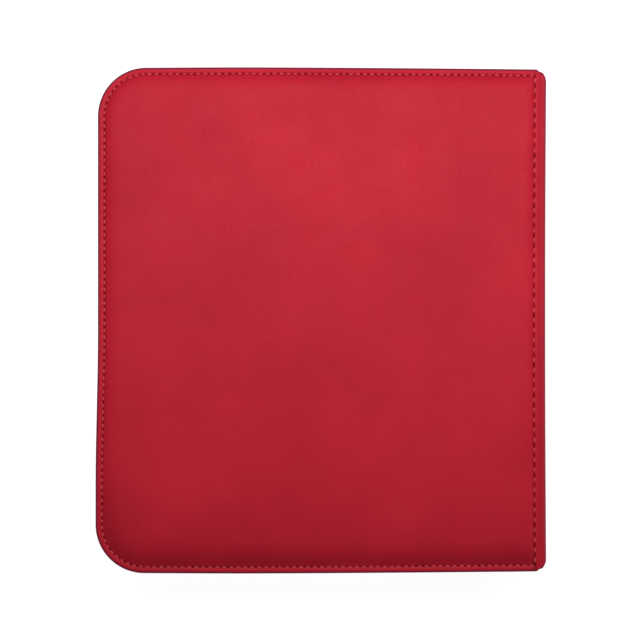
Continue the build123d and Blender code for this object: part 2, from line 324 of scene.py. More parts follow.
def sway(points):
    """The slight irregularity of a hand-turned cover: fuller at the tail of the fore edge, waisted
    at the spine."""
    points = np.array(points, float)
    x, y = points[:, 0].copy(), points[:, 1].copy()
    across = (X_SPINE - x) / (X_SPINE - X_FORE)
    points[:, 0] = x - FLARE * smooth((-y - 5 * MM) / (75 * MM)) * across
    points[:, 0] -= WAIST * (1 - across) * (1 - (y / HALF) ** 2)
    points[:, 1] = y * (1.0015 - 0.0155 * np.abs(across - 0.68) ** 1.5)
    return points


def plan_loop(inset, x_end, corner=0.0):
    """Points of a closed loop round a cover, counterclockwise from the head beside the spine."""
    x_low, half = X_FORE + inset, HALF - inset
    radius = max(FORE_RADIUS - inset, 0.5 * MM)
    corner = max(corner, 0.01 * MM)
    straight, arc = HEAD_STITCHES * COLUMNS, CORNER_STITCHES * COLUMNS
    beside = SPINE_STITCHES * SPINE_COLUMNS

    def line(start, end, count):
        t = np.arange(count)[:, None] / count
        return np.array(start) * (1 - t) + np.array(end) * t

    def turn(centre, size, first, count):
        angle = np.radians(first + 90 * np.arange(count) / count)
        return np.array(centre) + size * np.column_stack([np.cos(angle), np.sin(angle)])

    return np.vstack([
        line((x_end - corner, half), (x_low + radius, half), straight),
        turn((x_low + radius, half - radius), radius, 90, arc),
        line((x_low, half - radius), (x_low, -half + radius), FORE_STITCHES * COLUMNS),
        turn((x_low + radius, -half + radius), radius, 180, arc),
        line((x_low + radius, -half), (x_end - corner, -half), straight),
        turn((x_end - corner, -half + corner), corner, 270, SPINE_CORNER_COLUMNS),
        line((x_end, -half + corner), (x_end, half - corner), beside),
        turn((x_end - corner, half - corner), corner, 0, SPINE_CORNER_COLUMNS),
    ])


def hole_indices():
    """Which points of a loop are needle holes: those round three sides, then those by the spine."""
    round_three = (2 * HEAD_STITCHES + 2 * CORNER_STITCHES + FORE_STITCHES) * COLUMNS
    outer = np.arange(0, round_three + 1, COLUMNS)
    first = round_three + SPINE_CORNER_COLUMNS
    spine = np.arange(first, first + SPINE_STITCHES * SPINE_COLUMNS + 1, SPINE_COLUMNS)
    return outer, spine


def into_pad(x, y):
    """Distances of points in plan from the foot of the pad, on three sides and beside the spine."""
    across, along = x - X_FORE, HALF - np.abs(y)
    in_corner = (across < FORE_RADIUS) & (along < FORE_RADIUS)
    rounded = FORE_RADIUS - np.hypot(FORE_RADIUS - across, FORE_RADIUS - along)
    from_edge = np.where(in_corner, rounded, np.minimum(across, along)) - STITCH_INSET - PAD_FOOT
    return from_edge, X_STITCH - PAD_FOOT - x


def gathered_fold(x, y):
    """0 to 1 in the short folds of the border where the row beside the spine meets the other rows."""
    across = bell(x - X_STITCH - 0.2 * MM, 0.7 * MM)
    along = bell(HALF - 1.5 * MM - np.abs(y), 1.1 * MM)
    return np.where(y < 0, 1.0, 0.5) * across * along


def corner_shade(x, y):
    """0 to 1 round the corners where the rows of stitches cross."""
    across = bell(x - X_STITCH + 0.4 * MM, 1.3 * MM)
    along = bell(HALF - STITCH_INSET - 1 * MM - np.abs(y), 2.2 * MM)
    return np.where(y < 0, 1.0, 0.4) * across * along


def painted_shade_share(x, y):
    """Painted shade on the leatherette, along the pad's foot and most of all at the tail, and in the folds and stitch
    corners of the border.
    """
    from_edge, from_spine = into_pad(x, y)
    inside = np.minimum(from_edge, from_spine) > -PAD_FOOT
    head = smooth((y - 95 * MM) / (15 * MM))
    tail = smooth((-y - 60 * MM) / (50 * MM))
    beyond = np.maximum(from_edge, 0)
    near, far = np.exp(-beyond / (3 * MM)), np.exp(-beyond / (12 * MM))
    past_foot = smooth((from_edge + 0.3 * MM) / (2 * MM))
    # Painted shade along the pad's foot, deeper at the head, and broad painted shade that deepens towards the tail
    share = inside * ((0.05 + 0.13 * head) * near + 0.36 * tail * far * past_foot)
    share = share + 0.07 * tail * (1 - inside)
    # Painted shade in the gathered folds and round the corners where the rows of stitches cross
    return np.minimum(share + 0.7 * gathered_fold(x, y) + 0.35 * corner_shade(x, y), 1)


def pad_height(x, y):
    """Height of the padded panel over the border, at points in plan."""
    from_edge, from_spine = into_pad(x, y)
    tail = smooth((-y - 70 * MM) / (40 * MM))
    beyond = np.maximum(from_edge, 0)
    curved = 1 - np.exp(-beyond / (3.4 * MM))
    steep = 1 - np.maximum(1 - beyond / (8.5 * MM), 0) ** 1.5
    gentle = 1 - np.maximum(1 - beyond / (30 * MM), 0) ** 2
    rise = curved * (1 - tail) + (0.88 * steep + 0.12 * gentle) * tail
    rise *= 1 - np.exp(-np.maximum(from_spine, 0) / (2.2 * MM))
    return (CROWN - BORDER_TOP) * rise


def undulation(x, y):
    """Slow unevenness of the foam under the leatherette."""
    waves = [
        noise.noise(Vector((a * 18, b * 15, 3.1))) + 0.5 * noise.noise(Vector((a * 47, b * 40, 7.7)))
        for a, b in zip(x, y)
    ]
    return 0.16 * MM * np.array(waves)


def stitch_channel(inset):
    """How far the border sinks at a distance from the edge, along the line of stitches."""
    return 0.22 * MM * bell(inset - STITCH_INSET, 0.55 * MM)


# Insets of the loops, in millimetres, from the edge to the middle of the panel
EDGE_PROFILE = (    # inset, height under the border's top, painted shade on the turned edge
    (1.0, -2.2, 1.0), (0.4, -2.15, 1.0), (0.1, -1.9, 1.0), (0.0, -1.5, 1.0), (0.0, -1.05, 1.0),
    (0.06, -0.6, 1.0), (0.22, -0.28, 1.0), (0.5, -0.08, 1.0), (0.85, 0.0, 0.45),
)
BORDER_INSETS = (1.3, 1.9, 2.4, 2.7, 2.93, 3.1, 3.27, 3.47, 3.75)
PANEL_INSETS = (
    (4.05, 4.4, 4.85, 5.4, 6.05, 6.9, 7.9), (9.2, 11.0, 13.2, 16.0), (20.0, 25.0, 31.0, 38.0),
    (46.0, 55.0, 65.0), (77.0, 90.0),
)


def end_beside_spine(inset):
    """Where the loop of a given inset runs beside the spine."""
    if inset < STITCH_INSET:
        return X_PANEL_END - inset * (X_PANEL_END - X_STITCH) / STITCH_INSET
    return X_STITCH - (inset - STITCH_INSET)


def away_from_spine(plan):
    """0 for points along a cover's edge beside the spine, 1 for the others."""
    beside = (plan[:, 0] > X_PANEL_END - 1.2 * MM) & (np.abs(plan[:, 1]) < HALF - 1.4 * MM)
    return np.where(beside, 0.0, 1.0)


def hole_depths(count):
    """How deep each point on the line of stitches lies in a needle hole, from 0 to 1."""
    outer, spine = hole_indices()
    random = np.random.default_rng(11)
    deeper = random.uniform(0.7, 1.0, len(outer) + len(spine))
    rows = (outer, HOLE_SHAPE, deeper[:len(outer)]), (spine, SPINE_HOLE_SHAPE, deeper[-len(spine):])
    depths = np.zeros(count)
    for indices, shares, depth in rows:
        reach = len(shares) // 2
        for step, share in zip(range(-reach, reach + 1), shares):
            depths[(indices + step) % count] = share * depth
    return depths


def border_loop(inset):
    return plan_loop(inset, end_beside_spine(inset), PANEL_CORNER - inset)


def cover_loops():
    """The loops of a cover's skin, outside face: (points in plan, heights, painted shade in needle holes, painted
    shade on the turned edge) for each.
    """
    loops = []
    for inset, drop, edge in EDGE_PROFILE:
        plan = border_loop(inset * MM)
        height = BORDER_TOP + drop * MM - FOLD_DEPTH * gathered_fold(*plan.T)
        # The last value is painted shade on the turned edge
        loops.append((plan, height, np.zeros(len(plan)), edge))
    hole = hole_depths(len(plan))
    for inset in BORDER_INSETS:
        inset *= MM
        plan = border_loop(inset)
        puff = 0.12 * MM * math.sin(math.pi * min(inset / STITCH_INSET, 1))
        height = BORDER_TOP + puff - stitch_channel(inset) + pad_height(*plan.T)
        height -= FOLD_DEPTH * gathered_fold(*plan.T)
        beside = bell(inset - STITCH_INSET, 0.33 * MM)
        pucker = 0.12 * MM * bell(inset - STITCH_INSET, 1.1 * MM)
        # The third value is painted shade in the needle holes
        loops.append((plan, height - (HOLE_DEPTH * beside + pucker) * hole, hole * beside, 0.0))
    for number, insets in enumerate(PANEL_INSETS):
        for inset in insets:
            plan = plan_loop(inset * MM, end_beside_spine(inset * MM))[::2 ** number]
            height = BORDER_TOP + pad_height(*plan.T) - stitch_channel(inset * MM)
            fade = min(1, (inset - BORDER_INSETS[-1]) / 8)
            loops.append((plan, height + fade * undulation(*plan.T), np.zeros(len(plan)), 0.0))
    return loops


def loops_to_mesh(loops):
    """Joins loops into a surface. A loop may have half the points of the one before it."""
    starts = np.cumsum([0] + [len(loop) for loop in loops[:-1]])
    faces = []
    for a, b, first, second in zip(starts, starts[1:], loops, loops[1:]):
        a, b, n, m = int(a), int(b), len(first), len(second)
        if n == m:
            faces += [(a + i, a + (i + 1) % n, b + (i + 1) % n, b + i) for i in range(n)]
            continue
        for i in range(m):
            here, ahead = 2 * i, (2 * i + 2) % n
            faces.append((a + here, a + here + 1, b + i))
            faces.append((a + here + 1, a + ahead, b + (i + 1) % m, b + i))
    return faces


def fan(start, count, centre):
    return [(start + i, start + (i + 1) % count, centre) for i in range(count)]


def closed_loops(loops):
    """A closed mesh from loops, with a fan of triangles over the first and over the last."""
    faces = loops_to_mesh(loops)
    vertices = np.vstack(loops)
    total, last = len(vertices), len(loops[-1])
    faces += flipped(fan(0, len(loops[0]), total))
    faces += fan(total - last, last, total + 1)
    return np.vstack([vertices, loops[0].mean(0), loops[-1].mean(0)]), faces


def cover_skin_mesh():
    """The closed skin of the back cover: inside face, turned edge and padded outside face."""
    outside = cover_loops()
    inner = []
    x_wall = BOARD_HIGH.x + 0.05 * MM
    wall_inset = BOARD_LOW.x - X_FORE - 0.05 * MM
    for inset in (77.0, 31.0, 13.2, 9.2):
        plan = plan_loop(inset * MM, end_beside_spine(inset * MM))
        inner.append((plan, BORDER_TOP + pad_height(*plan.T) - SKIN))
    plan = plan_loop(wall_inset, x_wall)
    for height in (BOARD_HIGH.z, BORDER_UNDER):
        inner.append((plan, np.full(len(plan), height)))
    loops = [sway(np.column_stack(loop[:2])) for loop in inner + outside]
    unmarked = [np.zeros(len(p)) for p, _ in inner]
    # Painted shade: in the needle holes, on the turned edge, and along the pad's foot and towards the tail
    marks = {
        "hole": unmarked + [h for _, _, h, _ in outside],
        "edge": unmarked + [e * away_from_spine(p) for p, _, _, e in outside],
        "rubbed": unmarked + [painted_shade_share(*p.T) for p, _, _, _ in outside],
    }
    marks = {name: np.concatenate([*values, [0, 0]]) for name, values in marks.items()}
    return *closed_loops(loops), marks


def foam_mesh():
    """The foam pad between the board and the skin."""
    insets = (60.0, 6.65, 6.65, 9.2, 13.2, 31.0, 77.0)
    loops = []
    for number, inset in enumerate(insets):
        x_end = BOARD_HIGH.x if inset < 7 else end_beside_spine(inset * MM)
        plan = plan_loop(inset * MM, x_end)[::4]
        height = np.full(len(plan), BOARD_HIGH.z)
        if number > 1:
            height = np.maximum(height, BORDER_TOP + pad_height(*plan.T) - SKIN - 0.05 * MM)
        loops.append(sway(np.column_stack([plan, height])))
    return closed_loops(loops)


# Thread

STITCH_STATIONS = (0.0, 0.07, 0.2, 0.38, 0.62, 0.8, 0.93, 1.0)
THREAD_SIDES = 7


def tube_sides(rings, sides):
    """Faces along a tube made of rings of points."""
    faces = []
    for ring in range(rings - 1):
        for k in range(sides):
            a, b = ring * sides + k, ring * sides + (k + 1) % sides
            faces.append((a, b, b + sides, a + sides))
    return faces


def tube_faces(rings, sides):
    """Faces of a tube with both ends closed."""
    last = range((rings - 1) * sides, rings * sides)
    return tube_sides(rings, sides) + [tuple(reversed(range(sides))), tuple(last)]


def stitch_mesh(start, end, up, clear, radius=THREAD_RADIUS):
    """One stitch of twisted thread between two needle holes, bedded at its ends."""
    start, end, up = (np.array(v, float) for v in (start, end, up))
    along = end - start
    length = np.linalg.norm(along)
    along /= length
    side = np.cross(up, along)
    points = []
    for station in STITCH_STATIONS:
        arch = math.sin(math.pi * station)
        place = start + along * (clear + station * (length - 2 * clear))
        place = place + up * (arch ** 0.6 - 0.75) * radius
        place = place + side * 0.16 * radius * math.sin(2 * math.pi * station)
        size = radius * (0.35 + 0.65 * arch ** 0.5)
        for k in range(THREAD_SIDES):
            angle = 2 * math.pi * k / THREAD_SIDES + 1.5 * station
            points.append(place + size * (math.cos(angle) * side + math.sin(angle) * up))
    return points, tube_faces(len(STITCH_STATIONS), THREAD_SIDES)


def many(parts):
    """Several small meshes as one."""
    vertices, faces = [], []
    for points, their_faces in parts:
        offset = len(vertices)
        vertices += [tuple(p) for p in points]
        faces += [tuple(i + offset for i in face) for face in their_faces]
    return vertices, faces


def cover_stitches_mesh():
    """The thread on a cover's outside, and what shows of it on the tape inside."""
    plan = plan_loop(STITCH_INSET, X_STITCH)
    height = BORDER_TOP - stitch_channel(STITCH_INSET) + 0.05 * MM
    line = sway(np.column_stack([plan, np.full(len(plan), height)]))
    stitches = []
    random = np.random.default_rng(23)
    for indices, clear in zip(hole_indices(), (THREAD_CLEAR, SPINE_THREAD_CLEAR)):
        for first, second in zip(indices, indices[1:]):
            start, end = line[first % len(line)], line[second % len(line)]
            slack = clear * random.uniform(0.8, 1.15)
            stray = random.normal(0, 0.05 * MM, 3) * (1, 1, 0.5)
            radius = THREAD_RADIUS * random.uniform(0.9, 1.12)
            stitches.append(stitch_mesh(start + stray, end - stray, (0, 0, 1), slack, radius))
    inside = line.copy()
    inside[:, 2] = TAPE_HIGH.z - TAPE_THICKNESS - 0.1 * MM
    outer = hole_indices()[0]
    for first, second in zip(outer, outer[1:]):
        start, end = inside[first], inside[second % len(line)]
        stitches.append(stitch_mesh(start, end, (0, 0, -1), THREAD_CLEAR / 2))
    return many(stitches)


# Hinges and spine

HINGE_PROFILE = (    # from the spine's face, and from the border's top, in millimetres
    (5.4, -0.75), (4.6, -0.72), (3.9, -0.68), (3.4, -0.76), (2.95, -0.98), (2.6, -1.2), (2.35, -1.28),
    (2.1, -1.2), (1.75, -1.12), (1.35, -1.24), (0.95, -1.56), (0.6, -2.02), (0.32, -2.62),
    (0.14, -3.2), (0.04, -3.8), (0.0, -4.4), (0.0, -5.0),
)
HINGE_END_STEP = 0.85 * MM
HINGE_CORNER = 4.4 * MM
SPINE_ROWS, PLAIN_ROWS = 150, 60


def roll_end(x):
    """How far the leatherette of hinge and spine reaches along Y, at a place across."""
    into_corner = np.clip(x - (X_SPINE - HINGE_CORNER), 0, HINGE_CORNER)
    cut = HINGE_CORNER - np.sqrt(np.maximum(HINGE_CORNER ** 2 - into_corner ** 2, 0))
    return HALF - HINGE_END_STEP - cut


def strip_shell(profile, thickness, half=None):
    """A closed shell from a profile in X and Z, swept along Y with softly turned ends. It reaches to
    half each way, or where no half is given to the rounded ends of hinge and spine."""
    profile = np.array(profile, float)
    rows = PLAIN_ROWS if half else SPINE_ROWS
    reach = np.full(len(profile), half) if half else roll_end(profile[:, 0])
    tangent = np.gradient(profile, axis=0)
    normal = np.column_stack([-tangent[:, 1], tangent[:, 0]])
    normal /= np.linalg.norm(normal, axis=1)[:, None]
    if normal[0, 1] < 0:
        normal = -normal
    t = np.linspace(-1, 1, rows)
    share = np.sign(t) * (1 - (1 - np.abs(t)) ** 1.35)
    layers = []
    for line, outward in ((profile, 1), (profile - thickness * normal, 0)):
        for s in share:
            near = np.clip(1 - (1 - abs(s)) * reach / (0.9 * MM), 0, 1)
            turned = line - outward * (near ** 2 * 0.35 * MM)[:, None] * normal
            layers.append(np.column_stack([turned[:, 0], s * reach, turned[:, 1]]))
    vertices = np.vstack(layers)
    return vertices if half else sway(vertices), double_faces(rows, len(profile))


def double_faces(rows, count):
    """Faces of a shell of two equal grids, closed all round."""
    faces = grid_faces(rows, count)
    back = rows * count
    faces += flipped(grid_faces(rows, count, start=back))
    for row in range(rows - 1):
        for column, flip in ((0, False), (count - 1, True)):
            a, b = row * count + column, (row + 1) * count + column
            face = (a, b, b + back, a + back)
            faces.append(face[::-1] if flip else face)
    for column in range(count - 1):
        for row, flip in ((0, True), (rows - 1, False)):
            a = row * count + column
            face = (a, a + 1, a + 1 + back, a + back)
            faces.append(face[::-1] if flip else face)
    return faces


def hinge_mesh():
    profile = [(X_SPINE - a * MM, BORDER_TOP + b * MM) for a, b in HINGE_PROFILE]
    return strip_shell(profile, THIN_SKIN)


def spine_mesh():
    """The face of the spine, with a trace of padding under it."""
    heights = np.linspace(SPINE_HIGH.z, SPINE_LOW.z, 26)
    share = (heights - MIDDLE) / (SPINE_HIGH.z - MIDDLE)
    face = X_SPINE + 0.25 * MM * (1 - share ** 2) ** 2
    return strip_shell(np.column_stack([face, heights]), THIN_SKIN)


# Materials

class Finish:
    """A node material round one Principled shader."""

    def __init__(self, name, **sockets):
        self.material = bpy.data.materials.new(name)
        self.material.use_nodes = True
        self.tree = self.material.node_tree
        self.shader = self.tree.nodes["Principled BSDF"]
        for socket, value in sockets.items():
            self.shader.inputs[socket.replace("_", " ")].default_value = value

    def add(self, kind, inputs=None, output=0, **settings):
        """A node with its settings and inputs, and one of its outputs."""
        made = self.tree.nodes.new("ShaderNode" + kind)
        for key, value in settings.items():
            setattr(made, key, value)
        for key, value in (inputs or {}).items():
            self.feed(made.inputs[key], value)
        return made.outputs[output]

    def feed(self, socket, value):
        if isinstance(value, bpy.types.NodeSocket):
            self.tree.links.new(value, socket)
        else:
            socket.default_value = value

    def set(self, **sockets):
        for socket, value in sockets.items():
            self.feed(self.shader.inputs[socket.replace("_", " ")], value)

    def place(self):
        return self.add("TexCoord", output="Object")

    def uv(self):
        return self.add("UVMap", uv_map="UVMap")

    def noise(self, vector, scale, detail=3.0, roughness=0.5):
        inputs = {"Vector": vector, "Scale": scale, "Detail": detail, "Roughness": roughness}
        return self.add("TexNoise", inputs, output="Fac")

    def cells(self, vector, scale, feature="SMOOTH_F1"):
        inputs = {"Vector": vector, "Scale": scale}
        return self.add("TexVoronoi", inputs, output="Distance", feature=feature)

    def ramp(self, value, low, high, to_low=0.0, to_high=1.0):
        return self.add("MapRange", {0: value, 1: low, 2: high, 3: to_low, 4: to_high})

    def math(self, operation, a, b=0.0):
        return self.add("Math", {0: a, 1: b}, operation=operation)

    def mix(self, share, first, second):
        return self.add("Mix", {0: share, 6: first, 7: second}, output=2, data_type="RGBA")

    def bump(self, height, distance, strength=1.0, normal=None):
        inputs = {"Height": height, "Distance": distance, "Strength": strength}
        if normal:
            inputs["Normal"] = normal
        return self.add("Bump", inputs, output="Normal")

    def attribute(self, name):
        return self.add("Attribute", output="Fac", attribute_name=name)


def leatherette():
    """Red PU leather: pebble grain and mottling, with painted shade where it is turned, along the pad's foot and
    towards the tail, and in needle holes.
    """
    f = Finish("red_leatherette")
    place = f.place()
    swirl = f.add("TexNoise", {"Vector": place, "Scale": 900.0}, output=1)
    drift = f.add("VectorMath", {0: swirl, "Scale": 0.0006}, operation="SCALE")
    bend = f.add("VectorMath", {0: place, 1: drift}, operation="ADD")
    pebble = f.cells(bend, 1250.0)
    fine = f.noise(place, 3200.0, 2.0)
    clouds = f.noise(place, 21.0, 3.0, 0.55)
    patches = f.noise(place, 75.0, 2.0)
    deep = f.mix(f.ramp(clouds, 0.3, 0.7), (0.440, 0.0096, 0.0240, 1), (0.515, 0.0134, 0.0300, 1))
    grained = f.mix(f.ramp(pebble, 0.45, 0.8, 0.0, 0.22), deep, (0.30, 0.008, 0.018, 1))
    hole, edge = f.attribute("hole"), f.attribute("edge")
    # Painted shade along the pad's foot and towards the tail
    rubbed = f.mix(f.attribute("rubbed"), grained, (0.10, 0.002, 0.010, 1))
    # Painted shade on turned edges and in the hinge's fold
    shaded_edge = f.mix(f.math("MULTIPLY", edge, 0.9), rubbed, (0.13, 0.013, 0.042, 1))
    # Painted shade in the needle holes
    coloured = f.mix(f.ramp(hole, 0.12, 0.75), shaded_edge, (0.085, 0.0, 0.004, 1))
    rough = f.math("ADD", f.ramp(patches, 0.3, 0.7, 0.44, 0.52), f.ramp(pebble, 0.3, 0.8, 0.0, 0.1))
    height = f.math("ADD", f.math("MULTIPLY", pebble, -1.0), f.math("MULTIPLY", fine, 0.3))
    creases = f.bump(f.noise(place, 60.0, 2.0), 0.0006, 0.12)
    f.set(Base_Color=coloured, Roughness=rough, Normal=f.bump(height, 0.00005, 0.45, creases),
          Specular_IOR_Level=0.10)
    return f.material


def thread():
    """Red polyester thread with a visible twist."""
    f = Finish("red_thread", Roughness=0.5, Sheen_Weight=0.08, Sheen_Roughness=0.5)
    place = f.place()
    twist = f.noise(place, 3500.0, 2.0)
    along = f.noise(place, 260.0, 2.0)
    base = f.mix(f.ramp(along, 0.3, 0.7), (0.60, 0.060, 0.075, 1), (0.72, 0.115, 0.125, 1))
    f.set(Base_Color=f.mix(f.ramp(twist, 0.35, 0.65, 0.0, 0.5), base, (0.36, 0.015, 0.03, 1)),
          Normal=f.bump(twist, 0.00008, 0.8))
    return f.material


def woven(name, dark, light, scale, uses_uv=False, slant=0.0, roughness=0.85):
    """Cloth woven from two sets of threads, as bump, colour and roughness."""
    f = Finish(name, Sheen_Weight=0.25, Sheen_Roughness=0.6, Specular_IOR_Level=0.3)
    vector = f.uv() if uses_uv else f.place()
    parts = f.tree.nodes.new("ShaderNodeSeparateXYZ")
    f.tree.links.new(vector, parts.inputs[0])
    x, y = parts.outputs[0], parts.outputs[1]
    if not uses_uv:
        y = f.math("ADD", y, parts.outputs[2])
    x = f.math("ADD", x, f.math("MULTIPLY", f.math("PINGPONG", y, 0.0016), slant))
    warp = f.math("SINE", f.math("MULTIPLY", x, scale))
    weft = f.math("SINE", f.math("MULTIPLY", y, scale))
    weave = f.math("MULTIPLY", warp, weft)
    fibres = f.noise(vector, 2600.0, 2.0)
    height = f.math("ADD", weave, f.math("MULTIPLY", fibres, 0.8))
    lint = f.ramp(f.noise(vector, 120.0, 4.0), 0.4, 0.75, 0.0, 0.5)
    base = f.mix(f.ramp(weave, -0.6, 0.9), (*dark, 1), (*light, 1))
    f.set(Base_Color=f.mix(lint, base, (*[min(1, 1.6 * c) for c in light], 1)),
          Roughness=f.ramp(fibres, 0.2, 0.8, roughness - 0.08, roughness + 0.06),
          Normal=f.bump(height, 0.0001, 0.7))
    return f.material


def two_tone(name, tones, pattern, rough, bump, raised=None, **sockets):
    """A material in two tones, its roughness following the same pattern. Tones are (low, high, dark,
    light) and rough is (low, high, from, to). The bump takes the raised pattern, if there is one."""
    f = Finish(name, **sockets)
    place = f.place()
    marks = pattern(f, place)
    low, high, dark, light = tones
    f.set(Base_Color=f.mix(f.ramp(marks, low, high), (*dark, 1), (*light, 1)),
          Roughness=f.ramp(marks, *rough),
          Normal=f.bump(raised(f, place) if raised else marks, *bump))
    return f.material


def nylon():
    """Moulded black nylon of the zipper coil."""
    tones = 0.35, 0.7, (0.010, 0.010, 0.011), (0.022, 0.022, 0.024)
    return two_tone("black_coil", tones, lambda f, place: f.noise(place, 900.0, 3.0),
                    (0.3, 0.7, 0.32, 0.5), (0.00003, 0.5), Specular_IOR_Level=0.5)


def lacquered_metal():
    """Black lacquer over die-cast zinc, worn a little through at random places."""
    f = Finish("zipper_metal", Coat_Weight=0.5, Coat_Roughness=0.12)
    place = f.place()
    orange_peel = f.noise(place, 1400.0, 3.0)
    rubbed = f.ramp(f.noise(place, 420.0, 6.0, 0.7), 0.66, 0.72)
    f.set(Base_Color=f.mix(rubbed, (0.012, 0.012, 0.013, 1), (0.24, 0.23, 0.22, 1)),
          Metallic=f.ramp(rubbed, 0.0, 1.0, 0.35, 0.95),
          Roughness=f.ramp(orange_peel, 0.3, 0.7, 0.22, 0.36), Normal=f.bump(orange_peel, 0.00003, 0.4))
    return f.material


def page_sheet():
    """Black polypropylene backing with a fine matte emboss."""
    tones = 0.3, 0.7, (0.010, 0.010, 0.012), (0.017, 0.017, 0.019)
    return two_tone("page_sheet", tones, lambda f, place: f.noise(place, 30.0, 4.0),
                    (0.3, 0.7, 0.42, 0.58), (0.00003, 0.5), lambda f, place: f.cells(place, 1500.0),
                    Specular_IOR_Level=0.45)


def page_film():
    """Clear pocket film: glossy, slightly rippled, frosted along its welds."""
    f = Finish("page_film", IOR=1.49, Specular_IOR_Level=0.6)
    place = f.place()
    ripple = f.noise(place, 55.0, 2.0)
    weld = f.attribute("weld")
    dots = f.cells(place, 1300.0, "F1")
    frosted = f.math("MULTIPLY", weld, f.ramp(dots, 0.25, 0.55, 1.0, 0.8))
    f.set(Base_Color=(0.62, 0.64, 0.67, 1), Alpha=f.ramp(frosted, 0.0, 1.0, 0.13, 0.3),
          Roughness=f.ramp(weld, 0.0, 1.0, 0.07, 0.5),
          Normal=f.bump(f.math("ADD", ripple, f.math("MULTIPLY", frosted, 0.3)), 0.0004, 0.35))
    return f.material


def greyboard():
    tones = 0.3, 0.7, (0.27, 0.25, 0.22), (0.42, 0.39, 0.35)
    return two_tone("greyboard", tones, lambda f, place: f.noise(place, 700.0, 5.0, 0.7),
                    (0.3, 0.7, 0.8, 0.95), (0.0001, 0.5), Specular_IOR_Level=0.2)


def foam():
    tones = 0.2, 0.6, (0.55, 0.53, 0.47), (0.80, 0.78, 0.72)
    return two_tone("foam", tones, lambda f, place: f.cells(place, 1600.0, "F1"),
                    (0.2, 0.6, 0.85, 0.98), (0.0003, 0.7), Specular_IOR_Level=0.15,
                    Subsurface_Weight=0.1)


RED_LEATHER, RED_THREAD = leatherette(), thread()
LINING_CLOTH = woven("black_lining", (0.008, 0.008, 0.009), (0.022, 0.022, 0.024), 9000.0)
TAPE_CLOTH = woven("black_tape", (0.007, 0.007, 0.008), (0.024, 0.024, 0.026), 7600.0, True, 1.0)
WEBBING = woven("binding_webbing", (0.009, 0.009, 0.010), (0.026, 0.026, 0.028), 5200.0)
NYLON, METAL = nylon(), lacquered_metal()
SHEET, FILM = page_sheet(), page_film()
GREYBOARD, FOAM = greyboard(), foam()


# Covers

def build_covers():
    vertices, faces, marks = cover_skin_mesh()
    for side, piece in both_sides("leatherette", vertices, faces, [RED_LEATHER], marks).items():
        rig.ride(piece, f"{side}_cover")
        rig.replaces(piece, f"{side}_cover_skin")
        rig.slot(piece, "red_leatherette")
        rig.padded(piece, fill=0.9)
    for side, piece in both_sides("pad", *foam_mesh(), [FOAM]).items():
        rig.ride(piece, f"{side}_cover")
        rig.replaces(piece, f"{side}_cover_foam")
        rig.slot(piece, "foam")
        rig.padded(piece, fill=0.8)
    for side, piece in both_sides("stitches", *cover_stitches_mesh(), [RED_THREAD]).items():
        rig.ride(piece, f"{side}_cover")
        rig.replaces(piece, f"{side}_cover_stitching")
        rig.slot(piece, "red_thread")


def into_roll(vertices):
    """How far points lie inside the rounded ends of the spine's leatherette, in plan."""
    shrink = sway([(X_SPINE, HALF, 0)])[0, 1] / HALF
    y = np.abs(vertices[:, 1])
    x = vertices[:, 0] + WAIST * (1 - (y / HALF) ** 2)
    across = np.clip(x - (X_SPINE - HINGE_CORNER), 0, None)
    along = y / shrink - (HALF - HINGE_END_STEP - HINGE_CORNER)
    return HINGE_CORNER - np.hypot(across, np.maximum(along, 0)) + np.maximum(-along, 0)


def turned_edge_marks(vertices):
    """Leatherette attributes of hinge and spine, with painted shade where they fold over and turn in."""
    distance = into_roll(vertices)
    turned = np.where(distance < -0.3 * MM, 0, smooth(1.35 - distance / (0.75 * MM)))
    fold_height = BORDER_TOP - MIDDLE - 2.8 * MM
    fold = bell(np.abs(vertices[:, 2] - MIDDLE) - fold_height, 1.1 * MM)
    # Painted shade where the leatherette turns in at the ends and along the hinge's fold
    edge = np.maximum(turned, 0.95 * fold)
    # A little of the same painted shade lies over all of hinge and spine
    return {"hole": np.zeros(len(vertices)), "edge": edge, "rubbed": np.full(len(vertices), 0.07)}


def on_side(side, z):
    """A height on the back half of the binder, or the mirrored one on the front half."""
    return z if side == "back" else 2 * MIDDLE - z


def build_spine():
    vertices, faces = hinge_mesh()
    marks = turned_edge_marks(vertices)
    hinges = both_sides("hinge_leatherette", vertices, faces, [RED_LEATHER], marks)
    for side, piece in hinges.items():
        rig.replaces(piece, f"{side}_hinge_skin")
        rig.slot(piece, "red_leatherette")
        start = (X_PANEL_END, 0, on_side(side, BORDER_TOP))
        end = (X_SPINE, 0, SPINE_FACE[side])
        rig.blend(piece, f"{side}_cover", "spine", start=start, end=end)
    shells = [spine_mesh()]
    low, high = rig.box("spine_board")
    for side in (1, -1):
        y_near, y_far = sorted((side * (high.y + 0.05 * MM), side * (SPINE_HIGH.y - 0.1 * MM)))
        near = (low.x - 0.55 * MM, y_near, low.z - 0.4 * MM)
        far = (high.x + 0.35 * MM, y_far, high.z + 0.4 * MM)
        shells.append(rounded_box(near, far, 0.3 * MM, 3, 12))
    vertices, faces = many(shells)
    vertices = np.array(vertices)
    piece = make_piece("spine_leatherette", vertices, faces, "spine", [RED_LEATHER])
    for name, values in turned_edge_marks(vertices).items():
        add_attribute(piece, name, values)
    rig.replaces(piece, "spine_skin")
    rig.slot(piece, "red_leatherette")


# Lining

HINGE_AXIS = next(Vector(j["pos_m"]) for j in frame["joints"] if j["name"] == "back_cover_hinge")
LINING_THICKNESS = 0.5 * MM
LINING_EDGE = 6.6                   # inset of the cloth's edge, in millimetres
LINING_INSETS = (                   # inset, and how far the edge is drawn in
    (LINING_EDGE, 0.25), (6.62, 0.1), (6.75, 0.0), (7.4, 0.0), (9.0, 0.0), (20.0, 0.0), (50.0, 0.0),
    (85.0, 0.0),
)


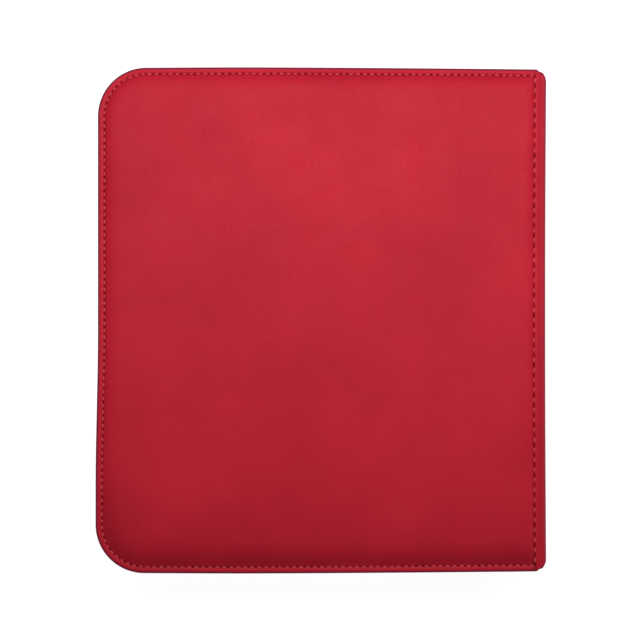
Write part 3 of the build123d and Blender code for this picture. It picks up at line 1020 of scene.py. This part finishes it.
def lining_mesh():
    """Lining cloth stretched over the inside of a cover, its edge folded in."""
    loops = []
    for side, rows in ((1, reversed(LINING_INSETS)), (-1, LINING_INSETS)):
        surface = LINING_LOW.z + LINING_THICKNESS * (side + 1) / 2
        for inset, drawn in rows:
            x_end = LINING_HIGH.x - (inset - LINING_EDGE) * MM
            plan = plan_loop(inset * MM, x_end, 1.0 * MM)[::4]
            height = np.full(len(plan), surface - side * drawn * MM)
            if inset > 8:
                height += 0.12 * undulation(*plan.T)
            loops.append(sway(np.column_stack([plan, height])))
    vertices, faces = closed_loops(loops)
    return vertices, flipped(faces)


def hinge_lining_mesh():
    radius = LINING_HIGH.z - SPINE_HIGH.z
    angle = np.linspace(math.pi / 2, 0, 12)
    x = np.minimum(LINING_HIGH.x + radius * np.cos(angle), HINGE_AXIS.x + 5 * MM)
    profile = np.column_stack([x, SPINE_HIGH.z + radius * np.sin(angle)])
    return strip_shell(profile, LINING_THICKNESS, LINING_HIGH.y)


def gusset_cloths():
    """The two small pieces of cloth that close the ends of the spine."""
    gussets = []
    for end in ("head", "tail"):
        low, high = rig.box(f"{end}_gusset")
        shape = rounded_box(low, high, 0.15 * MM, 2, 8)
        piece = make_piece(f"{end}_gusset_cloth", *shape, "spine", [TAPE_CLOTH])
        add_uv(piece, [(v.co.x, v.co.z) for v in piece.data.vertices])
        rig.replaces(piece, f"{end}_gusset")
        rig.slot(piece, "black_tape")
        gussets.append(piece)
    return gussets


def build_linings():
    cloth = both_sides("cover_cloth", *lining_mesh(), [LINING_CLOTH])
    rolls = both_sides("hinge_cloth", *hinge_lining_mesh(), [LINING_CLOTH])
    width, length = LINING_HIGH.x - LINING_LOW.x, LINING_HIGH.y - LINING_LOW.y
    cut_away = (4 - math.pi) / 2 * (FORE_RADIUS - LINING_EDGE * MM) ** 2
    for side, roll in rolls.items():
        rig.ride(cloth[side], f"{side}_cover")
        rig.replaces(cloth[side], f"{side}_cover_lining")
        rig.slot(cloth[side], "black_lining")
        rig.replaces(roll, f"{side}_hinge_lining")
        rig.slot(roll, "black_lining")
        start = (LINING_HIGH.x, 0, on_side(side, LINING_HIGH.z))
        end = (LINING_HIGH.x + LINING_HIGH.z - SPINE_HIGH.z, 0, SPINE_FACE[side])
        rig.blend(roll, f"{side}_cover", "spine", start=start, end=end)
        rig.sheet(cloth[side], flat=(width, length), held="stretched", rests_on=[f"{side}_cover_board"],
                 area=width * length - cut_away, with_pieces=[roll])
    low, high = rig.box("spine_lining")
    heights = np.linspace(high.z, low.z, 14)
    ridges = [(high.x - 0.05 * MM * math.sin(30 * z / MM), z) for z in heights]
    shape = strip_shell(ridges, LINING_THICKNESS, high.y)
    piece = make_piece("spine_cloth", *shape, "spine", [LINING_CLOTH])
    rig.replaces(piece, "spine_lining")
    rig.slot(piece, "black_lining")
    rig.sheet(piece, flat=(high.z - low.z, high.y - low.y), held="stretched", rests_on=["spine_board"],
             with_pieces=gusset_cloths())


# Zipper

TAPE_THICKNESS = 0.5 * MM
WALL_INSET = 5.8 * MM               # middle of the tape's standing part
COIL_INSET = 5.5 * MM
COIL_PITCH = 1.25 * MM
WIRE, WIRE_SIDES = 0.31 * MM, 6
LOOP_TOP = 2.25 * MM                # of the coil, from the middle of the binder
TAPE_STEP = 2.0 * MM
TAPE_BEND = 1.0 * MM
BEND_START, BEND_END = (ENDS_LOW.x, 0, SPINE_HIGH.z), (TAPE_HIGH.x, 0, SPINE_HIGH.z)


def round_three(inset, x_end, distance):
    """Points and outward directions at distances along a cover's head, fore edge and tail."""
    radius, half, x_low = FORE_RADIUS - inset, HALF - inset, X_FORE + inset
    straight, side, arc = x_end - x_low - radius, 2 * (half - radius), math.pi / 2 * radius
    turned = np.clip((distance - straight) / radius, 0, math.pi / 2)
    turned += np.clip((distance - straight - arc - side) / radius, 0, math.pi / 2)
    out = np.column_stack([np.cos(math.pi / 2 + turned), np.sin(math.pi / 2 + turned)])
    x = x_low + radius + np.maximum(straight - distance, 0)
    x += np.maximum(distance - straight - 2 * arc - side, 0)
    y = half - radius - np.clip(distance - straight - arc, 0, side)
    return np.column_stack([x, y]) + radius * out, out


def length_of_three(inset, x_end):
    radius, half, x_low = FORE_RADIUS - inset, HALF - inset, X_FORE + inset
    return 2 * (x_end - x_low - radius) + 2 * (half - radius) + math.pi * radius


def ribbon_section(centreline, thickness):
    """A closed outline round a centreline, and the place along the centreline of each of its points."""
    centreline = np.array(centreline, float)
    tangent = np.gradient(centreline, axis=0)
    normal = np.column_stack([-tangent[:, 1], tangent[:, 0]])
    normal *= thickness / 2 / np.linalg.norm(normal, axis=1)[:, None]
    normal[[0, -1]] *= 0.7
    steps = np.linalg.norm(np.diff(centreline, axis=0), axis=1)
    place = np.concatenate([[0], np.cumsum(steps)])
    outline = np.vstack([centreline + normal, (centreline - normal)[::-1]])
    return outline, np.concatenate([place, place[::-1]])


def sweep(points, outs, section, wobble=0.0):
    """A closed section, in outward and Z offsets, carried along a path in plan."""
    rows, count = len(points), len(section)
    lean = wobble * np.sin(np.arange(rows) * 0.9) * np.sin(np.arange(rows) * 0.23)
    vertices = []
    for point, out, shift in zip(points, outs, lean):
        flat = point + out * (section[:, :1] + shift)
        vertices.append(np.column_stack([flat, section[:, 1]]))
    faces = tube_sides(rows, count)
    half = count // 2
    for first, flip in ((0, True), ((rows - 1) * count, False)):
        for k in range(half - 1):
            face = (first + k, first + k + 1, first + count - 2 - k, first + count - 1 - k)
            faces.append(face[::-1] if flip else face)
    return np.vstack(vertices), faces


def tape_lines():
    """Centrelines of the tape: its sewn edge, its bend, and its standing part down to the selvedge."""
    top = TAPE_HIGH.z - TAPE_THICKNESS / 2
    edge = [(o * MM, top) for o in (4.5, 4.2, 3.2, 2.2, 1.3)]
    angle = np.linspace(math.pi / 2, math.pi, 6)[1:]
    bend = [(TAPE_BEND * (1 + math.cos(a)), top - TAPE_BEND * (1 - math.sin(a))) for a in angle]
    low = TAPE_LOW.z + 0.2 * MM
    wall = [(0, z) for z in np.linspace(top - 1.5 * MM, low, 12)]
    return edge + bend + wall, edge, bend[2:] + wall


def tape_mesh(stretches):
    """Tape along stretches of the path, each given as (centreline, from, to, wobble)."""
    parts, uv, area = [], [], 0
    for line, start, end, wobble in stretches:
        section, place = ribbon_section(line, TAPE_THICKNESS)
        distance = np.linspace(start, end, max(2, round((end - start) / TAPE_STEP)) + 1)
        points, outs = round_three(WALL_INSET, TAPE_HIGH.x, distance)
        parts.append(sweep(points, outs, section, wobble))
        uv += [(along, across) for along in distance for across in place]
        area += (end - start) * place.max()
    vertices, faces = many(parts)
    return vertices, faces, uv, area


def build_tapes():
    whole, edge, wall = tape_lines()
    total = length_of_three(WALL_INSET, TAPE_HIGH.x)
    tail = TAPE_HIGH.x - ENDS_LOW.x
    width = ribbon_section(whole, TAPE_THICKNESS)[1].max()
    ends = (0, tail), (total - tail, total)
    plans = {
        "front": [(whole, 0, total, 0.04 * MM)],
        "back": [(whole, tail, total - tail, 0.04 * MM)] + [(edge, *end, 0) for end in ends],
        "back_tail": [(wall, *end, 0) for end in ends],
    }
    pieces = {}
    for name, stretches in plans.items():
        vertices, faces, uv, area = tape_mesh(stretches)
        if name == "front":
            vertices, faces = mirrored(vertices, faces)
        pieces[name] = piece = make_piece(f"{name}_tape", vertices, faces, materials=[TAPE_CLOTH])
        add_uv(piece, uv)
        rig.slot(piece, "black_tape")
        if name != "back_tail":
            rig.ride(piece, f"{name}_cover")
            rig.replaces(piece, f"{name}_zipper_tape")
            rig.sheet(piece, flat=(width, total), held="stretched", rests_on=[f"{name}_cover_lining"],
                     area=area)
    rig.replaces(pieces["back_tail"], "back_tape_ends")
    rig.blend(pieces["back_tail"], "back_cover", "spine", start=BEND_START, end=BEND_END)
    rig.sheet(pieces["back_tail"], flat=(0.012, 2 * tail), held="stretched", rests_on=["back_tape"])


# One loop of the coil, in millimetres: distance out of the tape, and from its teeth
LOOP = ((0.45, 1.5), (1.1, 1.52), (1.58, 1.25), (1.66, 0.7), (1.5, 0.22), (1.05, 0.0), (0.62, 0.2),
        (0.45, 0.75), (0.42, 1.25))


def coil_mesh(first, last, phase):
    """Loops of nylon wire, each turned round the edge of the tape and ending in a tooth."""
    loops = np.array(LOOP) * MM
    count = len(loops)
    centres, outs = [], []
    total = length_of_three(COIL_INSET, COIL_HIGH.x)
    for number in range(first, last):
        distance = (number + phase + np.arange(count) / count) * COIL_PITCH
        points, out = round_three(COIL_INSET, COIL_HIGH.x, distance)
        tooth = MIDDLE + WIRE + tooth_gap(distance[0] / total)
        low = 1 - loops[:, 1] / loops[:, 1].max()
        height = tooth * low + (MIDDLE + LOOP_TOP) * (1 - low)
        centres.append(np.column_stack([points + out * loops[:, :1], height]))
        outs.append(out)
    centres, outs = np.vstack(centres), np.vstack(outs)
    along = np.column_stack([-outs[:, 1], outs[:, 0], np.zeros(len(outs))])
    tangent = np.gradient(centres, axis=0)
    side = np.cross(tangent, along)
    side /= np.linalg.norm(side, axis=1)[:, None]
    across = np.cross(tangent, side)
    across /= np.linalg.norm(across, axis=1)[:, None]
    angles = 2 * math.pi * np.arange(WIRE_SIDES)[:, None] / WIRE_SIDES
    rounds = np.cos(angles) * side[:, None] + np.sin(angles) * across[:, None]
    vertices = (centres[:, None] + WIRE * rounds).reshape(-1, 3)
    return vertices, tube_faces(len(centres), WIRE_SIDES)


def tooth_gap(share):
    """Half the gap at the teeth: closed round the head and fore edge, just open at the tail."""
    on_tail = float(smooth((share - 0.62) / 0.03)) + float(share < 0.03)
    return (0.83 * on_tail - 0.3) * MM


def build_coils():
    total = length_of_three(COIL_INSET, COIL_HIGH.x)
    loops = int(total / COIL_PITCH) - 1
    tail = round((COIL_HIGH.x - ENDS_LOW.x) / COIL_PITCH)
    front = make_piece("front_coil", *mirrored(*coil_mesh(0, loops, 0.5)), materials=[NYLON])
    back = make_piece("back_coil", *coil_mesh(tail, loops - tail, 0.0), materials=[NYLON])
    ends = [coil_mesh(0, tail, 0.0), coil_mesh(loops - tail, loops, 0.0)]
    tails = make_piece("back_coil_tails", *many(ends), materials=[NYLON])
    for piece, body in ((front, "front_cover"), (back, "back_cover")):
        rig.ride(piece, body)
        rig.replaces(piece, body.replace("cover", "zipper_coil"))
        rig.slot(piece, "black_coil")
    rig.replaces(tails, "back_coil_ends")
    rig.slot(tails, "black_coil")
    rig.blend(tails, "back_cover", "spine", start=BEND_START, end=BEND_END)


def taken_from(mesh):
    """Vertices and faces of a bmesh, which is freed."""
    vertices = [tuple(v.co) for v in mesh.verts]
    index = {v: i for i, v in enumerate(mesh.verts)}
    faces = [tuple(index[v] for v in face.verts) for face in mesh.faces]
    mesh.free()
    return vertices, faces


def rounded_box(low, high, radius, segments=3, cuts=0):
    """Vertices and faces of a box with rounded edges."""
    mesh = bmesh.new()
    bmesh.ops.create_cube(mesh, size=1.0)
    low, high = Vector(low), Vector(high)
    for vertex in mesh.verts:
        vertex.co = Vector((a + (b - a) * (c + 0.5) for a, b, c in zip(low, high, vertex.co)))
    bmesh.ops.bevel(mesh, geom=mesh.edges[:], offset=radius, segments=segments, profile=0.5,
                    affect="EDGES")
    if cuts:
        longest = max(edge.calc_length() for edge in mesh.edges)
        long_edges = [edge for edge in mesh.edges if edge.calc_length() > 0.9 * longest]
        bmesh.ops.subdivide_edges(mesh, edges=long_edges, cuts=cuts)
    return taken_from(mesh)


def refined(node, width):
    """Vertices and faces of a hard CAD part with its sharp edges rounded off."""
    mesh = bmesh.new()
    mesh.from_mesh(nodes[node].data)
    mesh.transform(nodes[node].matrix_world)
    bmesh.ops.remove_doubles(mesh, verts=mesh.verts, dist=0.001 * MM)
    bmesh.ops.dissolve_limit(mesh, angle_limit=math.radians(2), verts=mesh.verts, edges=mesh.edges)
    sharp = [e for e in mesh.edges if e.is_manifold and e.calc_face_angle(0) > math.radians(35)]
    bmesh.ops.bevel(mesh, geom=sharp, offset=width, segments=2, profile=0.5, affect="EDGES",
                    clamp_overlap=True)
    bmesh.ops.triangulate(mesh, faces=[f for f in mesh.faces if len(f.verts) > 4])
    return taken_from(mesh)


def build_slider():
    """The slider, and its pull with a grip of raised ribs."""
    slider = make_piece("slider", *refined("zipper_slider", 0.22 * MM), "zipper_slider", [METAL])
    low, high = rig.box("zipper_pull")
    middle = (low.z + high.z) / 2
    parts = [refined("zipper_pull", 0.2 * MM)]
    for step in range(6):
        x = low.x + (4.5 + 1.7 * step) * MM
        parts.append(rounded_box((x, low.y - 0.18 * MM, middle - 2.1 * MM),
                                 (x + 0.8 * MM, low.y + 0.3 * MM, middle + 2.1 * MM), 0.15 * MM))
    pull = make_piece("pull", *many(parts), "zipper_pull", [METAL])
    for piece, node in ((slider, "zipper_slider"), (pull, "zipper_pull")):
        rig.replaces(piece, node)
        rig.slot(piece, "zipper_metal")


def build_stops():
    low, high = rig.box("zipper_stops")
    width = 2 * MM
    boxes = []
    for y in (low.y, high.y - width):
        for x in (low.x, (low.x + high.x) / 2 + 0.05 * MM):
            x_high = x + (high.x - low.x) / 2 - 0.05 * MM
            boxes.append(rounded_box((x, y, low.z), (x_high, y + width, high.z), 0.3 * MM))
    stops = make_piece("stops", *many(boxes), "front_cover", [METAL])
    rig.replaces(stops, "zipper_stops")
    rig.slot(stops, "zipper_metal")


# Binding and pages

def build_binding():
    low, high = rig.box("binding_strip")
    vertices, faces = rounded_box(low, high, 0.35 * MM, 3, 40)
    strip = make_piece("webbing", vertices, faces, "spine", [WEBBING])
    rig.replaces(strip, "binding_strip")
    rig.slot(strip, "binding_webbing")
    rows = []
    for y in (low.y + 1.2 * MM, low.y + 2.4 * MM, high.y - 2.4 * MM, high.y - 1.2 * MM):
        heights = np.linspace(low.z + 0.6 * MM, high.z - 0.6 * MM, 10)
        for start, end in zip(heights, heights[1:]):
            rows.append(stitch_mesh((low.x, y, start), (low.x, y, end), (-1, 0, 0), 0.2 * MM))
    bars = make_piece("webbing_stitches", *many(rows), "spine", [WEBBING])
    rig.slot(bars, "binding_webbing")
    flat = (high.z - low.z, high.y - low.y)
    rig.sheet(strip, flat=flat, held="stretched", rests_on=["spine_lining"], with_pieces=[bars])


# A page, in millimetres from the middle of its sheet
SHEET_HALF = 0.125
FILM_WELDED, FILM_OVER_POCKET, FILM_THICKNESS = 0.26, 0.47, 0.12
POCKET, POCKET_HIGH, SEAM = 72.0, 98.0, 3.0
SLIT = 0.6
HINGE_CLEAR = 0.5                   # left between the stiff sheet and its flexible hinge's bend
RAMP = (0.0, 0.25, 0.6, 1.1, 1.8, 3.0, 6.0, 14.0, 30.0)


def shell_grid(xs, ys, outer, inner):
    """A thin shell over a grid in plan, from the heights of its outer and inner faces."""
    x, y = np.meshgrid(xs, ys)
    vertices = np.vstack([np.column_stack([x.ravel(), y.ravel(), z.ravel()]) for z in (outer, inner)])
    return vertices, double_faces(len(ys), len(xs))


def film_panel(x_start, x_pocket, x_end, z_sign):
    """One column of pockets: film welded round each pocket and open along the side by the spine."""
    half = SEAM / 2 + POCKET_HIGH + SEAM
    inside = np.array(RAMP)
    xs = np.unique(np.concatenate([[x_start, x_start + 0.3], x_pocket + inside, x_end - inside[:7]]))
    low, high = SEAM / 2, SEAM / 2 + POCKET_HIGH
    ys = np.concatenate([[0], low + inside, high - inside, [(low + high) / 2, half - 0.3, half]])
    ys = np.unique(np.concatenate([-ys, ys]).round(4))
    x, y = np.meshgrid(xs, ys)
    in_row = np.minimum(np.abs(y) - low, high - np.abs(y))
    pocket = smooth(np.minimum(in_row, x - x_pocket) / 1.2)
    waves = np.sin(x * 0.31 + np.sin(y * 0.11)) * np.sin(y * 0.173 + 1.0)
    outer = FILM_WELDED + (FILM_OVER_POCKET - FILM_WELDED) * pocket - 0.03 * pocket * waves ** 2
    weld = 1 - pocket.ravel()
    vertices, faces = shell_grid(xs, ys, outer, outer - FILM_THICKNESS)
    vertices[:, 2] *= z_sign
    if z_sign < 0:
        faces = flipped(faces)
    return vertices, faces, np.concatenate([weld, weld])


def page_meshes():
    """The backing sheet and the clear films of a page, about the page's own plane."""
    x_low, x_high, half = PAGE_LOW.x / MM, PAGE_HIGH.x / MM, PAGE_HIGH.y / MM
    edge = x_high - HINGE_CLEAR
    xs = np.unique(np.concatenate([np.linspace(x_low, edge, 24), [x_low + 0.1, edge - 0.1]]))
    ys = np.unique(np.concatenate([[-half + 0.1, half - 0.1], np.linspace(-half, half, 31)]))
    x, _ = np.meshgrid(xs, ys)
    groove = 0.05 * bell(x - (x_high - 9), 0.6)
    sheet = shell_grid(xs, ys, SHEET_HALF - groove, -SHEET_HALF + groove)
    parts, welds = [], []
    first = x_low + SEAM
    second = first + POCKET + SEAM
    panels = (x_low, first, first + POCKET - SLIT), (second - SEAM, second, second + POCKET + SEAM)
    for panel in panels:
        for z_sign in (1, -1):
            vertices, faces, weld = film_panel(*panel, z_sign)
            parts.append((vertices, faces))
            welds.append(weld)
    vertices, faces = many(parts)
    return (sheet[0] * MM, sheet[1]), (np.array(vertices) * MM, faces), np.concatenate(welds)


def build_pages():
    sheet, films, welds = page_meshes()
    low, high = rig.box("page_hinges")
    ys = np.linspace(low.y, high.y, 30)
    for joint in [j for j in frame["joints"] if j["name"].startswith("page_")]:
        page = joint["name"].replace("_turn", "")
        z = joint["pos_m"][2]
        backing = make_piece(f"{page}_sheet", *sheet, materials=[SHEET])
        pockets = make_piece(f"{page}_pockets", *films, materials=[FILM])
        add_attribute(pockets, "weld", welds)
        for piece in (backing, pockets):
            piece.location.z = z
            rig.ride(piece, page)
            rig.replaces(piece, page)
            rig.slot(piece, "page_plastic")
        xs = np.linspace(low.x - (HINGE_CLEAR + 0.1) * MM, high.x, 11)
        x, _ = np.meshgrid(xs, ys)
        thin = 0.06 * MM + 0.03 * MM * smooth((x - high.x + 1.2 * MM) / (1.2 * MM))
        shape = shell_grid(xs, ys, z + thin, z - thin)
        flap = make_piece(f"{page}_hinge", *shape, materials=[SHEET])
        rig.replaces(flap, "page_hinges")
        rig.slot(flap, "page_plastic")
        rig.blend(flap, page, "spine", start=(low.x, 0, z), end=(high.x, 0, z))


# Stage

KEY_PLACE, KEY_SIZE, KEY_WATTS = (0.08, 0.165, 0.46), (0.85, 0.28), 3.3
WIDTH_SEEN = 304.4 * MM
CAMERA_DISTANCE = 1.6
CAMERA_X, CAMERA_Y = -1.13 * MM, 0.2 * MM       # where the photo's middle falls on the binder


def build_stage():
    floor = make_piece("floor", [(-9, -9, 0), (9, -9, 0), (9, 9, 0), (-9, 9, 0)], [(0, 1, 2, 3)])
    floor.location.z = cad_box[0].z - 0.0003
    f = Finish("floor_white", Roughness=0.9, Specular_IOR_Level=0.1, Emission_Strength=0.95)
    f.set(Base_Color=(0.4, 0.4, 0.4, 1), Emission_Color=(1, 1, 1, 1))
    floor.data.materials.append(f.material)
    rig.stage(floor)


def build_world():
    """Pale near the horizon and dim overhead, so that the lamp shapes what the camera sees."""
    world = bpy.data.worlds.new("studio")
    bpy.context.scene.world = world
    world.use_nodes = True
    tree = world.node_tree
    direction = tree.nodes.new("ShaderNodeTexCoord")
    parts = tree.nodes.new("ShaderNodeSeparateXYZ")
    fade = tree.nodes.new("ShaderNodeMapRange")
    for socket, value in ((1, 0.12), (2, 0.30), (3, 0.95), (4, 0.06)):
        fade.inputs[socket].default_value = value
    tree.links.new(direction.outputs["Generated"], parts.inputs[0])
    tree.links.new(parts.outputs[2], fade.inputs[0])
    tree.links.new(fade.outputs[0], tree.nodes["Background"].inputs["Strength"])
    tree.nodes["Background"].inputs["Color"].default_value = (1, 1, 1, 1)


def build_key_light():
    """A soft box over the head of the binder, pointing straight down."""
    data = bpy.data.lights.new("key", "AREA")
    data.shape, data.energy = "RECTANGLE", KEY_WATTS
    data.size, data.size_y = KEY_SIZE
    lamp = bpy.data.objects.new("key", data)
    bpy.context.scene.collection.objects.link(lamp)
    lamp.location = KEY_PLACE
    lamp.rotation_euler = Vector((0, 0, -1)).to_track_quat("-Z", "Y").to_euler()
    lamp.visible_camera = False


def build_camera():
    """Looks straight down at the back cover, from far enough to show only it."""
    data = bpy.data.cameras.new("camera")
    data.sensor_width = 36
    data.lens = data.sensor_width * CAMERA_DISTANCE / WIDTH_SEEN
    data.clip_start, data.clip_end = 0.05, 20
    camera = bpy.data.objects.new("camera", data)
    bpy.context.scene.collection.objects.link(camera)
    camera.location = (CAMERA_X, CAMERA_Y, CROWN + CAMERA_DISTANCE)
    bpy.context.scene.camera = camera


def dress_cad_nodes():
    """Materials for the CAD nodes that are shown as they are."""
    finishes = {
        "board": GREYBOARD, "lining": LINING_CLOTH, "tape": TAPE_CLOTH, "coil": NYLON,
        "ends": TAPE_CLOTH, "strip": WEBBING, "hinges": SHEET, "gusset": TAPE_CLOTH,
        "slider": METAL, "pull": METAL, "stops": METAL, "foam": FOAM, "skin": RED_LEATHER,
        "stitching": RED_THREAD,
    }
    for name, piece in nodes.items():
        last = name.split("_")[-1]
        piece.data.materials.clear()
        piece.data.materials.append(SHEET if name.startswith("page_") else finishes[last])


bpy.context.scene.view_settings.view_transform = "Standard"
for build in (
    dress_cad_nodes, build_covers, build_spine, build_linings, build_tapes, build_coils, build_slider,
    build_stops, build_binding, build_pages, build_stage, build_world, build_key_light,
    build_camera,
):
    build()

visual_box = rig.bounds()
with open("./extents.json", "w") as file:
    json.dump({"cad": [list(v) for v in cad_box], "visual": [list(v) for v in visual_box]}, file)
